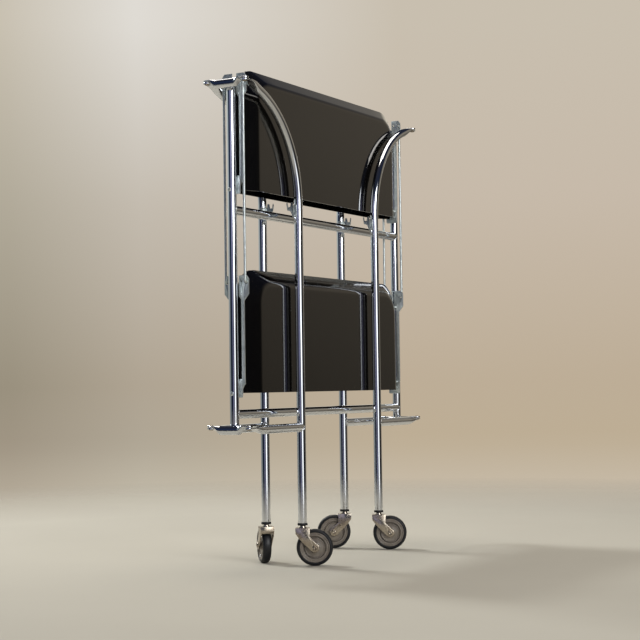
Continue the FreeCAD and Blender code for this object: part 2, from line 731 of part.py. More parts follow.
def link_rod(label, side, row):
    """A wire rod with both ends hooked through the corner plates of an upper and a lower tray half."""
    body = new_body(label, turn=0 if side < 0 else 180, x=f"{side} * link_plane", y=f"{row} * link_row")
    above_seam = DIMENSIONS["hinge_rise"] + DIMENSIONS["link_rise"]
    bottom, top = DIMENSIONS["low_seam"] + above_seam, DIMENSIONS["high_seam"] + above_seam
    out = DIMENSIONS["link_plane"] - DIMENSIONS["arm_plane"] + DIMENSIONS["link_end"]
    radius = DIMENSIONS["link_dia"]
    lower_bend = Part.Circle(Vector(radius, bottom + radius, 0), Vector(0, 0, 1), radius)
    upper_bend = Part.Circle(Vector(radius, top - radius, 0), Vector(0, 0, 1), radius)
    path = new_sketch(body, "XZ_Plane")
    path.addGeometry(Part.LineSegment(Vector(out, bottom, 0), Vector(radius, bottom, 0)), False)
    path.addGeometry(Part.ArcOfCircle(lower_bend, math.pi, 1.5 * math.pi), False)
    path.addGeometry(Part.LineSegment(Vector(0, bottom + radius, 0), Vector(0, top - radius, 0)), False)
    path.addGeometry(Part.ArcOfCircle(upper_bend, math.pi / 2, math.pi), False)
    path.addGeometry(Part.LineSegment(Vector(radius, top, 0), Vector(out, top, 0)), False)
    low, high = (f"{name}_seam + hinge_rise + link_rise" for name in ("low", "high"))
    tip = "link_plane - arm_plane + link_end"
    fix_point(path, 0, 1, tip, low)
    fix_point(path, 0, 2, "link_dia", low)
    fix_point(path, 1, 3, "link_dia", f"{low} + link_dia")
    fix_point(path, 1, 2, "link_dia", low)
    fix_point(path, 1, 1, None, f"{low} + link_dia")
    fix_point(path, 2, 1, "0", f"{low} + link_dia")
    fix_point(path, 2, 2, "0", f"{high} - link_dia")
    fix_point(path, 3, 3, "link_dia", f"{high} - link_dia")
    fix_point(path, 3, 2, None, f"{high} - link_dia")
    fix_point(path, 3, 1, "link_dia", high)
    fix_point(path, 4, 1, "link_dia", high)
    fix_point(path, 4, 2, tip, high)
    section = circle(new_sketch(body, "YZ_Plane", tip), "link_dia", "0", low)
    sweep(body, section, path)


# ---- the trolley ----

for side_name, side in SIDES.items():
    upright(f"upright_{side_name}", side)
    flat_bar(f"handle_bar_{side_name}", side, "high_bar_level")
    flat_bar(f"lower_bar_{side_name}", side, "low_bar_level")
    for level_name, level in LEVELS.items():
        tray_bracket(f"tray_bracket_{level_name}_{side_name}", side, level)
crossbar("upper_crossbar", "high_cross_level")
crossbar("lower_crossbar", "low_cross_level")
fasteners()

for leg_name, (x, y, trail_turn) in LEGS.items():
    leg(f"leg_{leg_name}", x, y)
    stay(f"stay_{leg_name}", x, y)
    tray_rest(f"tray_rest_{leg_name}", x, y)
    foot_socket(f"foot_socket_{leg_name}", x, y)
    place = at_axle(x, y, trail_turn)
    castor_fork(f"castor_fork_{leg_name}", x, y, trail_turn)
    castor_wheel(f"castor_wheel_{leg_name}", place)
    castor_tyre(f"castor_tyre_{leg_name}", place)
    castor_axle(f"castor_axle_{leg_name}", place)

for row_name, row in ROWS.items():
    for level_name, level in LEVELS.items():
        tray_half(f"{level_name}_tray_{row_name}", row, level)
        tray_arms(f"{level_name}_arms_{row_name}", row, level)
    for side_name, side in SIDES.items():
        link_rod(f"link_rod_{row_name}_{side_name}", side, row)

doc.recompute()
for thing in doc.Objects:
    if "Invalid" in thing.State or "Error" in thing.State:
        raise ValueError(f"{thing.Name} ({thing.Label}) failed: {thing.State}")
for part in parts:
    if part.Shape.isNull() or not part.Shape.isValid() or not part.Shape.Solids:
        raise ValueError(f"{part.Label} has no valid solid")

os.makedirs("parts", exist_ok=True)
for part in parts:
    part.Shape.exportStep(os.path.join("parts", f"{part.Label}.step"))
print(f"{len(parts)} sub-parts written")
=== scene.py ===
import json
import math

import bmesh
import bpy
from mathutils import Matrix, Vector, noise


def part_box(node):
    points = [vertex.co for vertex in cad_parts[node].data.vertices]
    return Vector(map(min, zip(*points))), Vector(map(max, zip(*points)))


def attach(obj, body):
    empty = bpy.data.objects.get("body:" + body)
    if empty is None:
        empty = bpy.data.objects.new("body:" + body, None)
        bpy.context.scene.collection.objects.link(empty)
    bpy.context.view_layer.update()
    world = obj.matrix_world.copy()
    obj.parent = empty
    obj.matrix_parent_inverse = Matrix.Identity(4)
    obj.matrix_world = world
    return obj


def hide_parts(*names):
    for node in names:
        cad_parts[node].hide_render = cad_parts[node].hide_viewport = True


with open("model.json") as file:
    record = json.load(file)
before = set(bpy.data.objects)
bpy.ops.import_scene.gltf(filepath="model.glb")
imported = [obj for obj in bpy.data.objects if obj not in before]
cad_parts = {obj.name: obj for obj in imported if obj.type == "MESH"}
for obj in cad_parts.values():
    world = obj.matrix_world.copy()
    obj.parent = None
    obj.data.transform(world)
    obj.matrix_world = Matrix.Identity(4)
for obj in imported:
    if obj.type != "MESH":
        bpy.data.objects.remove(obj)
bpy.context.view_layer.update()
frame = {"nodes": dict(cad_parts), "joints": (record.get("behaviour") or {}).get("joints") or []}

MM = 0.001
WELD = 2e-6
SIDES = {"left": -1, "right": 1}
ROWS = {"front": -1, "rear": 1}
LEVELS = ("upper", "lower")
LEGS = [(row, side) for row in ROWS for side in SIDES]

# Sizes of the real parts in millimetres.
# A line is a distance from the middle along X, and a row is one along Y.
TUBE_RADIUS, TUBE_WALL = 8, 1.2
UPRIGHT_LINE = 319.5
PIVOT_LINE, PIVOT_ROW = 335.3, 38
LEG_LINE = 153
LINK_LINE = 311
BEND_START, BEND_RADIUS = 655, 195
BEND_SWEEP = math.radians(71.5)

# The pressed ends: an eye about the rivet, the flat before it, and the end bars' tongues.
EYE_RADIUS, EYE_THICK, EYE_LIFT = 7, 3.2, 3.1
EYE_LEAD = 2.5
FLAT_HALF = 9.2
TAPER_LENGTH = 46
BARREL_HALF, TAPER_END = 18, 30
TONGUE_THICK = 3
LEAST_WIDTH = 0.8

# A tray half: its flat panel, its rim, and the sheet it is pressed from.
PANEL_HALF, PANEL_RISE, PANEL_OUT = 269, 193.5, 24.5
RIM_HALF, RIM_RISE, RIM_GAP = 304.5, 216.5, 3
CORNER_RADIUS, FLARE = 42, 9
PANEL_INSET, FOLD_INSET = 14, 7
SHEET = 2

# Shares of the way from the panel's border to the rim, for the fold's end and the loops at the rim.
FOLD_END, WALL_END, LAST_LOOP = 0.2, 0.96, 0.985

# Fixings, welds and wire. The wobble is a share of the bead's radius.
RING_BEAD, SPOT_BEAD, SPOT_RADIUS, BEAD_WOBBLE = 1.0, 1.35, 5, 0.35
SCREW_RADIUS, SCREW_SHANK, SCREW_HEIGHT, SCREW_SINK = 3.5, 2, 2.2, 0.15
DOME_FALL = 0.55
CROSS_HALF, CROSS_REACH, CROSS_DEPTH = 0.45, 1.9, 0.9
RIVET_SHANK = 2.5
WIRE_RADIUS, WIRE_BEND, WIRE_HOOK = 2.25, 4.5, 8


def level_of(node):
    """The height of a CAD node's middle in millimetres."""
    low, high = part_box(node)
    return (low.z + high.z) / 2 / MM


def bar_level(name):
    """The height in millimetres of an end bar's centre line, taken from its top."""
    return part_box(f"{name}_bar_left")[1].z / MM - TUBE_RADIUS


# ---- materials ----


class Surface:
    """A procedural material built around one Principled shader."""

    def __init__(self, name, **sockets):
        self.material = bpy.data.materials.new(name)
        self.material.use_nodes = True
        self.tree = self.material.node_tree
        self.shader = self.tree.nodes["Principled BSDF"]
        for socket, value in sockets.items():
            self.shader.inputs[socket.replace("_", " ")].default_value = value
        self.place = self.tree.nodes.new("ShaderNodeTexCoord").outputs["Object"]

    def node(self, kind, **inputs):
        """A new node with its inputs set or linked by name."""
        made = self.tree.nodes.new(kind)
        for socket, value in inputs.items():
            self.feed(made.inputs[socket.replace("_", " ")], value)
        return made

    def feed(self, socket, value):
        """Links a node's output to a socket, or sets the socket to a plain value."""
        if isinstance(value, bpy.types.NodeSocket):
            self.tree.links.new(value, socket)
        else:
            socket.default_value = value

    def noise(self, scale, detail=4.0, rough=0.55):
        """Noise of a size given in features per metre."""
        made = self.node(
            "ShaderNodeTexNoise", Vector=self.place, Scale=scale, Detail=detail, Roughness=rough
        )
        return made.outputs["Fac"]

    def cells(self, scale):
        """A random tone for each cell of a crystal-like pattern."""
        made = self.node("ShaderNodeTexVoronoi", Vector=self.place, Scale=scale, Randomness=1.0)
        return made.outputs["Color"]

    def spread(self, value, low, high, out_low=0.0, out_high=1.0):
        """Maps a value from one range to another and clamps it."""
        made = self.node("ShaderNodeMapRange", Value=value)
        for index, number in ((1, low), (2, high), (3, out_low), (4, out_high)):
            made.inputs[index].default_value = number
        return made.outputs["Result"]

    def mix(self, share, one, other):
        """A blend of two colours by a share."""
        made = self.tree.nodes.new("ShaderNodeMix")
        made.data_type = "RGBA"
        self.feed(made.inputs[0], share)
        self.feed(made.inputs[6], one)
        self.feed(made.inputs[7], other)
        return made.outputs[2]

    def math(self, operation, one, other):
        """One step of arithmetic between two values."""
        made = self.tree.nodes.new("ShaderNodeMath")
        made.operation = operation
        self.feed(made.inputs[0], one)
        self.feed(made.inputs[1], other)
        return made.outputs[0]

    def colour(self, value):
        self.feed(self.shader.inputs["Base Color"], value)

    def roughness(self, value):
        self.feed(self.shader.inputs["Roughness"], value)

    def bump(self, height, strength, distance):
        made = self.node("ShaderNodeBump", Height=height, Strength=strength, Distance=distance)
        self.feed(self.shader.inputs["Normal"], made.outputs["Normal"])


def chrome():
    """Polished plate with slight haze, water marks and a few pinhead pits."""
    made = Surface("chrome_plate", Metallic=1.0)
    haze = made.noise(28, 5)
    pits = made.spread(made.noise(520, 2), 0.72, 0.78)
    clean = made.mix(haze, (0.62, 0.65, 0.69, 1), (0.74, 0.76, 0.79, 1))
    made.colour(made.mix(pits, clean, (0.34, 0.30, 0.26, 1)))
    polish = made.spread(haze, 0.3, 0.75, 0.035, 0.11)
    made.roughness(made.math("ADD", polish, made.math("MULTIPLY", pits, 0.25)))
    relief = made.math("SUBTRACT", made.noise(16, 2), made.math("MULTIPLY", pits, 0.4))
    made.bump(relief, 0.12, 0.0006)
    return made.material


def zinc():
    """Satin zinc plate: a fine spangle, pale bloom and patchy roughness."""
    made = Surface("zinc_plate", Metallic=0.8)
    spangle = made.cells(230)
    bloom = made.spread(made.noise(60, 6, 0.65), 0.4, 0.7)
    plain = made.mix(spangle, (0.48, 0.54, 0.54, 1), (0.66, 0.71, 0.71, 1))
    made.colour(made.mix(bloom, plain, (0.74, 0.79, 0.77, 1)))
    made.roughness(made.spread(made.noise(140, 5), 0.3, 0.7, 0.3, 0.5))
    made.bump(made.noise(900, 3), 0.14, 0.0004)
    return made.material


def nickel():
    """Weathered plate on the castors: tarnish in patches and fine pitting."""
    made = Surface("worn_nickel", Metallic=0.93)
    tarnish = made.spread(made.noise(70, 6, 0.6), 0.36, 0.72)
    pits = made.spread(made.noise(700, 3), 0.62, 0.7)
    plate = made.mix(tarnish, (0.47, 0.42, 0.35, 1), (0.30, 0.245, 0.185, 1))
    made.colour(made.mix(pits, plate, (0.14, 0.10, 0.07, 1)))
    made.roughness(made.spread(tarnish, 0, 1, 0.14, 0.36))
    made.bump(made.math("SUBTRACT", made.noise(240, 4), pits), 0.18, 0.0005)
    return made.material


def enamel():
    """Glossy black stoving enamel with a faint orange peel and settled dust."""
    made = Surface("black_enamel", Coat_Weight=0.6, Coat_Roughness=0.02, Coat_IOR=1.5)
    dust = made.spread(made.noise(420, 4, 0.7), 0.62, 0.8, 0, 0.3)
    made.colour(made.mix(dust, (0.003, 0.0026, 0.0022, 1), (0.022, 0.02, 0.018, 1)))
    made.roughness(made.spread(made.noise(11, 4), 0.3, 0.7, 0.05, 0.11))
    made.bump(made.noise(7, 2), 0.05, 0.004)
    return made.material


def black_plastic():
    """Dull black moulded plastic."""
    made = Surface("black_trim", Specular_IOR_Level=0.3)
    made.colour(made.mix(made.noise(320, 5), (0.006, 0.006, 0.006, 1), (0.018, 0.018, 0.019, 1)))
    made.roughness(made.spread(made.noise(180, 4), 0.3, 0.7, 0.5, 0.72))
    made.bump(made.noise(1400, 2), 0.15, 0.0003)
    return made.material


def rubber():
    """Tyre rubber with a greyed tread and floor dust."""
    made = Surface("tyre_rubber", Specular_IOR_Level=0.4)
    dust = made.spread(made.noise(150, 6, 0.7), 0.55, 0.8, 0, 0.35)
    made.colour(made.mix(dust, (0.004, 0.005, 0.007, 1), (0.045, 0.042, 0.04, 1)))
    made.roughness(made.spread(made.noise(240, 5), 0.3, 0.7, 0.34, 0.62))
    made.bump(made.noise(1100, 4), 0.25, 0.0004)
    return made.material


def moulded_grey():
    """The wheel disc's grey moulded plastic, scuffed and yellowed."""
    made = Surface("grey_moulding", Specular_IOR_Level=0.5)
    grime = made.spread(made.noise(60, 6, 0.6), 0.38, 0.75)
    made.colour(made.mix(grime, (0.235, 0.205, 0.17, 1), (0.15, 0.125, 0.098, 1)))
    made.roughness(made.spread(made.noise(300, 4), 0.3, 0.7, 0.12, 0.26))
    made.bump(made.noise(1000, 3), 0.14, 0.0004)
    return made.material


SURFACES = {
    "chrome": chrome(),
    "zinc": zinc(),
    "nickel": nickel(),
    "tray": enamel(),
    "socket": black_plastic(),
    "tyre": rubber(),
    "wheel": moulded_grey(),
}
SURFACES["bush"] = SURFACES["socket"]


# ---- mesh tools, all in millimetres ----


def piece(name, vertices, faces, slot, body, replaces=(), sharp=32):
    """A mesh that rides on a body, smooth but for edges sharper than an angle in degrees."""
    mesh = bpy.data.meshes.new(name)
    mesh.from_pydata([Vector(v) * MM for v in vertices], [], faces)
    return finish_piece(name, mesh, slot, body, replaces, sharp)


def finish_piece(name, mesh, slot, body, replaces=(), sharp=32):
    """Welds doubled points, turns the faces outward and hands the mesh to its body."""
    mesh.validate()
    work = bmesh.new()
    work.from_mesh(mesh)
    bmesh.ops.remove_doubles(work, verts=work.verts, dist=WELD)
    bmesh.ops.recalc_face_normals(work, faces=work.faces)
    work.to_mesh(mesh)
    work.free()
    mesh.shade_smooth()
    mesh.set_sharp_from_angle(angle=math.radians(sharp))
    mesh.materials.clear()
    mesh.materials.append(SURFACES[slot])
    made = bpy.data.objects.new(name, mesh)
    bpy.context.scene.collection.objects.link(made)
    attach(made, body)
    if replaces:
        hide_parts(*replaces)
    return made


def join_shapes(shapes):
    """Several (vertices, faces) as one."""
    vertices, faces = [], []
    for shape_vertices, shape_faces in shapes:
        start = len(vertices)
        vertices += list(shape_vertices)
        faces += [[start + i for i in face] for face in shape_faces]
    return vertices, faces


def skin(sections, closed=True, capped=True):
    """Faces between loops of points that all have the same count."""
    count = len(sections[0])
    vertices = [point for section in sections for point in section]
    faces = []
    for j in range(len(sections) - 1):
        for i in range(count if closed else count - 1):
            k = (i + 1) % count
            faces.append([j * count + i, j * count + k, (j + 1) * count + k, (j + 1) * count + i])
    if capped:
        faces.append(list(range(count)))
        faces.append([(len(sections) - 1) * count + i for i in range(count)])
    return vertices, faces


def soften(profile, radius, steps=4):
    """Rounds each corner of a closed profile with a short curve."""
    points = []
    for i, corner in enumerate(profile):
        corner = Vector(corner)
        before, after = Vector(profile[i - 1]), Vector(profile[(i + 1) % len(profile)])
        back, forth = before - corner, after - corner
        start = corner + back.normalized() * min(radius, 0.45 * back.length)
        end = corner + forth.normalized() * min(radius, 0.45 * forth.length)
        for step in range(steps + 1):
            t = step / steps
            points.append(start * (1 - t) ** 2 + corner * 2 * t * (1 - t) + end * t**2)
    return points


def lathe(profile, centre, axis, steps=72):
    """A closed profile of (radius, along) points turned about an axis through a centre."""
    stand = Vector(axis).to_track_quat("Z", "Y").to_matrix()
    sections = []
    for step in range(steps):
        turn = 2 * math.pi * step / steps
        around = Vector((math.cos(turn), math.sin(turn), 0))
        loop = [around * r + Vector((0, 0, z)) for r, z in profile]
        sections.append([Vector(centre) + stand @ point for point in loop])
    return skin(sections + [sections[0]], capped=False)


def oval(centre, across, up, half_width, half_height, power=2.0, count=48):
    """A loop between an ellipse (power 2) and a rounded flat (higher powers)."""
    loop = []
    for i in range(count):
        turn = 2 * math.pi * i / count
        c, s = math.cos(turn), math.sin(turn)
        x = math.copysign(abs(c) ** (2 / power), c) * half_width
        y = math.copysign(abs(s) ** (2 / power), s) * half_height
        loop.append(centre + across * x + up * y)
    return loop


def ease(t):
    """A share from 0 to 1 that starts and ends gently."""
    return t * t * (3 - 2 * t)


def run_of(points, radius, count=24, wobble=0.0, seed=0.0, looped=False):
    """A round bar along points, its radius varied a little by wobble."""
    sections = []
    total = len(points)
    across = None
    for i, point in enumerate(points):
        ahead = points[(i + 1) % total] if looped else points[min(i + 1, total - 1)]
        behind = points[i - 1] if looped or i else points[0]
        along = (ahead - behind).normalized()
        if across is None:
            across = along.orthogonal().normalized()
        across = (across - along * across.dot(along)).normalized()
        up = along.cross(across)
        size = radius * (1 + wobble * noise.noise(point * 0.9 + Vector((seed, 0, 0))))
        sections.append(oval(point, across, up, size, size, count=count))
    if looped:
        sections.append(sections[0])
    return skin(sections, capped=not looped)


def refined(node, slot, body, width=0.35, sharp=30):
    """A CAD node's own shape with its edges eased, as stamping and tumbling leave them."""
    source = frame["nodes"][node]
    work = bmesh.new()
    work.from_mesh(source.data)
    bmesh.ops.remove_doubles(work, verts=work.verts, dist=WELD)
    flat = math.radians(1.0)
    bmesh.ops.dissolve_limit(work, angle_limit=flat, verts=work.verts, edges=work.edges)
    corner = math.radians(35)
    edges = [e for e in work.edges if len(e.link_faces) == 2 and e.calc_face_angle(0) > corner]
    bmesh.ops.bevel(
        work,
        geom=edges,
        offset=width * MM,
        segments=2,
        profile=0.5,
        affect="EDGES",
        clamp_overlap=True,
    )
    mesh = bpy.data.meshes.new(f"{node}_eased")
    work.to_mesh(mesh)
    work.free()
    return finish_piece(f"{node}_eased", mesh, slot, body, (node,), sharp)


X, Y, Z = Vector((1, 0, 0)), Vector((0, 1, 0)), Vector((0, 0, 1))


# ---- frame ----


def straight_tube(centre, axis, start, end):
    """An open-ended tube with its wall, from start to end along an axis."""
    wall = [
        (TUBE_RADIUS, start),
        (TUBE_RADIUS, end),
        (TUBE_RADIUS - TUBE_WALL, end),
        (TUBE_RADIUS - TUBE_WALL, start),
    ]
    return lathe(soften(wall, 0.4), centre, axis)


def flattened_bar(x, z):
    """A short tube along Y whose ends are pressed flat, level with its top."""
    sections = []
    tongue_height = TUBE_RADIUS - TONGUE_THICK / 2
    reach = PIVOT_ROW + EYE_RADIUS
    stations = [-BARREL_HALF * (1 - i / 6) for i in range(13)]
    taper = [BARREL_HALF + (TAPER_END - BARREL_HALF) * i / 12 for i in range(1, 13)]
    eye = [PIVOT_ROW + EYE_RADIUS * math.sin(math.pi / 2 * i / 12) for i in range(13)]
    half = taper + [(TAPER_END + PIVOT_ROW) / 2] + eye
    for y in [-y for y in reversed(half)] + stations + half:
        far = abs(y)
        flat = ease(min(max((far - BARREL_HALF) / (TAPER_END - BARREL_HALF), 0), 1))
        width = TUBE_RADIUS + (FLAT_HALF - TUBE_RADIUS) * flat
        if far > TAPER_END:
            narrowing = ease(min((far - TAPER_END) / (PIVOT_ROW - TAPER_END), 1))
            width += (EYE_RADIUS - FLAT_HALF) * narrowing
        if far > PIVOT_ROW:
            width = max(math.sqrt(max(EYE_RADIUS**2 - (far - PIVOT_ROW) ** 2, 0)), LEAST_WIDTH)
        height = TUBE_RADIUS + (TONGUE_THICK / 2 - TUBE_RADIUS) * flat
        centre = Vector((x, min(max(y, -reach), reach), z + tongue_height * flat))
        sections.append(oval(centre, X, Z, width, height, power=2 + 3 * flat))
    return skin(sections)


def ring_weld(centre, axis, toward, seed):
    """The bead where a tube along axis ends against one of the same size that crosses it."""
    side = axis.cross(toward)
    points = []
    for i in range(64):
        turn = 2 * math.pi * i / 64
        along = -TUBE_RADIUS * abs(math.cos(turn))
        sideways, forward = TUBE_RADIUS * math.sin(turn), TUBE_RADIUS * math.cos(turn)
        points.append(centre + axis * along + side * sideways + toward * forward)
    return run_of(points, RING_BEAD, count=12, wobble=BEAD_WOBBLE, seed=seed, looped=True)


def side_weld(centre, seed):
    """The bead round the spot where two crossing tubes lie against each other."""
    turns = [math.pi * i / 24 for i in range(48)]
    points = [centre + (Y * math.cos(turn) + Z * math.sin(turn)) * SPOT_RADIUS for turn in turns]
    return run_of(points, SPOT_BEAD, count=12, wobble=BEAD_WOBBLE, seed=seed, looped=True)


def build_frame():
    """The uprights, end bars and crossbars with their welds, and the brackets with their pins."""
    bar_levels = {name: bar_level(name) for name in ("handle", "lower")}
    cross_levels = {name: level_of(f"{name}_crossbar") for name in LEVELS}
    for side_name, side in SIDES.items():
        node = f"upright_{side_name}"
        low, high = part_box(node)
        tube = straight_tube((side * UPRIGHT_LINE, 0, 0), Z, low.z / MM, high.z / MM)
        piece(f"{node}_tube", *tube, "chrome", "frame", (node,))
        beads = []
        for name, level in bar_levels.items():
            node = f"{name}_bar_{side_name}"
            bar = flattened_bar(side * PIVOT_LINE, level)
            piece(f"{node}_pressed", *bar, "chrome", "frame", (node,))
            contact = Vector((side * (UPRIGHT_LINE + TUBE_RADIUS), 0, level))
            beads.append(side_weld(contact, seed=level * side))
        for level in cross_levels.values():
            crossing = Vector((side * UPRIGHT_LINE, 0, level))
            beads.append(ring_weld(crossing, X * side, Z, seed=level * side))
        piece(f"weld_beads_{side_name}", *join_shapes(beads), "chrome", "frame")
    for name, level in cross_levels.items():
        tube = straight_tube((0, 0, level), X, -UPRIGHT_LINE, UPRIGHT_LINE)
        piece(f"{name}_crossbar_tube", *tube, "chrome", "frame", (f"{name}_crossbar",))
    for level in LEVELS:
        for side in SIDES:
            refined(f"tray_bracket_{level}_{side}", "zinc", "frame")
    refined("tray_hinge_pins", "zinc", "frame", width=0.08)
    refined("hinge_bushes", "bush", "frame", width=0.2)
    build_screws()
    build_rivets(bar_levels)


def screw_head(centre, outward):
    """A low domed screw head with a cross recess."""
    rings, spokes = 14, 72
    sections = []
    for ring in range(rings + 1):
        r = SCREW_RADIUS * (1 - ring / rings)
        loop = []
        for spoke in range(spokes):
            turn = 2 * math.pi * spoke / spokes
            u, v = r * math.cos(turn), r * math.sin(turn)
            rise = SCREW_HEIGHT * (1 - DOME_FALL * (r / SCREW_RADIUS) ** 2)
            if min(abs(u), abs(v)) < CROSS_HALF and max(abs(u), abs(v)) < CROSS_REACH:
                rise -= CROSS_DEPTH
            loop.append(centre + Y * u + Z * v + outward * rise)
        sections.append(loop)
    base = [point - outward * (point - centre).dot(outward) for point in sections[0]]
    return skin([base] + sections)


def build_screws():
    """The screws that hold the brackets to the uprights."""
    low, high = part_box("bracket_screws")
    heights = {"upper": high.z / MM - SCREW_RADIUS, "lower": low.z / MM + SCREW_RADIUS}
    for side_name, side in SIDES.items():
        shapes = []
        for level in LEVELS:
            z = heights[level]
            outward = X * side
            face = Vector((side * (UPRIGHT_LINE + TUBE_RADIUS), 0, z))
            shapes.append(screw_head(face - outward * SCREW_SINK, outward))
            inner = abs(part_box(f"tray_bracket_{level}_right")[0].x) / MM
            length = face.x * side - inner
            shank = soften([(0, 0), (SCREW_SHANK, 0), (SCREW_SHANK, length), (0, length)], 0.2)
            shapes.append(lathe(shank, (side * inner, 0, z), outward, steps=24))
        node = ("bracket_screws",) if side > 0 else ()
        piece(f"bracket_screws_{side_name}", *join_shapes(shapes), "zinc", "frame", node)


def build_rivets(bar_levels):
    """Domed rivets that hold the legs' and stays' eyes under the end bars."""
    shapes = []
    for side in SIDES.values():
        for row in ROWS.values():
            for level in bar_levels.values():
                top = level + TUBE_RADIUS
                under = level + EYE_LIFT - EYE_THICK / 2
                # Radius and height of the rivet's two heads.
                dome = [(0, top + 1.4), (2.2, top + 1.15), (3.9, top + 0.5), (4.5, top)]
                foot = [
                    (4.5, under - 0.3),
                    (3.9, under - 1.2),
                    (2.2, under - 1.8),
                    (0, under - 1.9),
                ]
                shank = [(RIVET_SHANK, top), (RIVET_SHANK, under - 0.3)]
                profile = dome + shank + foot
                place = (side * PIVOT_LINE, row * PIVOT_ROW, 0)
                shapes.append(lathe(soften(profile, 0.3, 2), place, Z, steps=40))
    piece("gate_rivets_domed", *join_shapes(shapes), "nickel", "frame", ("gate_rivets",))


# ---- legs ----


def leg_tube(side, row, low):
    """The leg: straight, bent over toward the end bar, then pressed into a flat eye."""
    base = Vector((side * LEG_LINE, row * PIVOT_ROW, 0))
    out = X * side
    sections = []

    def section(centre, up, half_width, half_height, power=2.0):
        sections.append(oval(base + centre, Y, up, half_width, half_height, power))

    for i in range(12):
        section(Z * (low + (BEND_START - low) * i / 12), out, TUBE_RADIUS, TUBE_RADIUS)
    for i in range(41):
        turn = BEND_SWEEP * i / 40
        outward, rise = BEND_RADIUS * (1 - math.cos(turn)), BEND_RADIUS * math.sin(turn)
        start = out * outward + Z * (BEND_START + rise)
        up = out * math.cos(turn) - Z * math.sin(turn)
        section(start, up, TUBE_RADIUS, TUBE_RADIUS)
    reach = PIVOT_LINE - LEG_LINE
    eye_level = bar_level("handle") + EYE_LIFT
    end = out * (reach - EYE_RADIUS - EYE_LEAD) + Z * eye_level
    heading = out * math.sin(BEND_SWEEP) + Z * math.cos(BEND_SWEEP)
    length = (end - start).length
    for i in range(1, 25):
        t = i / 24
        centre = start * (1 - t) ** 3 + (start + heading * length * 0.4) * 3 * t * (1 - t) ** 2
        centre += (end - out * length * 0.3) * 3 * t**2 * (1 - t) + end * t**3
        flat = ease(t)
        tilt = BEND_SWEEP + (math.pi / 2 - BEND_SWEEP) * flat
        up = out * math.cos(tilt) - Z * math.sin(tilt)
        width = TUBE_RADIUS + (FLAT_HALF - TUBE_RADIUS) * flat
        height = TUBE_RADIUS + (EYE_THICK / 2 - TUBE_RADIUS) * flat
        section(centre, up, width, height, 2 + 3 * flat)
    eye_sections(section, out, reach, eye_level)
    return skin(sections)


def eye_sections(section, out, reach, level):
    """The last sections of a pressed end: parallel, then rounded off about the rivet."""
    for i in range(1, 5):
        width = FLAT_HALF + (EYE_RADIUS - FLAT_HALF) * ease(i / 4)
        along = reach - (EYE_RADIUS + EYE_LEAD) * (1 - i / 4)
        section(out * along + Z * level, -Z, width, EYE_THICK / 2, 5)
    for i in range(1, 13):
        turn = math.pi / 2 * i / 12
        width = max(EYE_RADIUS * math.cos(turn), LEAST_WIDTH)
        along = reach + EYE_RADIUS * math.sin(turn)
        section(out * along + Z * level, -Z, width, EYE_THICK / 2, 5)


def stay_tube(side, row):
    """The short level tube from a leg to its lower hinge, its far end pressed into a flat eye."""
    base = Vector((side * LEG_LINE, row * PIVOT_ROW, 0))
    out = X * side
    level = bar_level("lower")
    reach = PIVOT_LINE - LEG_LINE
    sections = []

    def section(centre, up, half_width, half_height, power=2.0):
        sections.append(oval(base + centre, Y, up, half_width, half_height, power))

    straight_end = reach - TAPER_LENGTH
    for i in range(9):
        section(out * straight_end * i / 8 + Z * level, -Z, TUBE_RADIUS, TUBE_RADIUS)
    for i in range(1, 21):
        flat = ease(i / 20)
        along = straight_end + (TAPER_LENGTH - EYE_RADIUS - EYE_LEAD) * i / 20
        width = TUBE_RADIUS + (FLAT_HALF - TUBE_RADIUS) * flat
        height = TUBE_RADIUS + (EYE_THICK / 2 - TUBE_RADIUS) * flat
        section(out * along + Z * (level + EYE_LIFT * flat), -Z, width, height, 2 + 3 * flat)
    eye_sections(section, out, reach, level + EYE_LIFT)
    return skin(sections)


def build_leg(row_name, side_name):
    """A leg with its stay, the weld between them, the tray rest and the plug in the foot."""
    row, side = ROWS[row_name], SIDES[side_name]
    name = f"{row_name}_{side_name}"
    body = f"gate_{name}"
    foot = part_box(f"leg_{name}")[0].z / MM
    piece(f"leg_{name}_bent", *leg_tube(side, row, foot), "chrome", body, (f"leg_{name}",))
    piece(f"stay_{name}_pressed", *stay_tube(side, row), "chrome", body, (f"stay_{name}",))
    joint = Vector((side * LEG_LINE, row * PIVOT_ROW, bar_level("lower")))
    bead = ring_weld(joint, X * -side, Z, seed=side + 3 * row)
    piece(f"stay_weld_{name}", *bead, "chrome", body)
    refined(f"tray_rest_{name}", "zinc", body)
    # Radius and height of the plug's outline, from the end of the tube.
    collar = [(4.2, -4.4), (9, -4.4), (9, -1.4), (8.4, 0), (6.6, 0), (6.6, 12), (4.2, 12)]
    plug = lathe(soften(collar, 0.5), (side * LEG_LINE, row * PIVOT_ROW, foot), Z)
    piece(f"foot_collar_{name}", *plug, "socket", body, (f"foot_socket_{name}",))


# ---- castors ----


def both_sides(profile):
    """A turned profile followed by its mirror image, which makes it whole."""
    return profile + [(r, -z) for r, z in reversed(profile)]


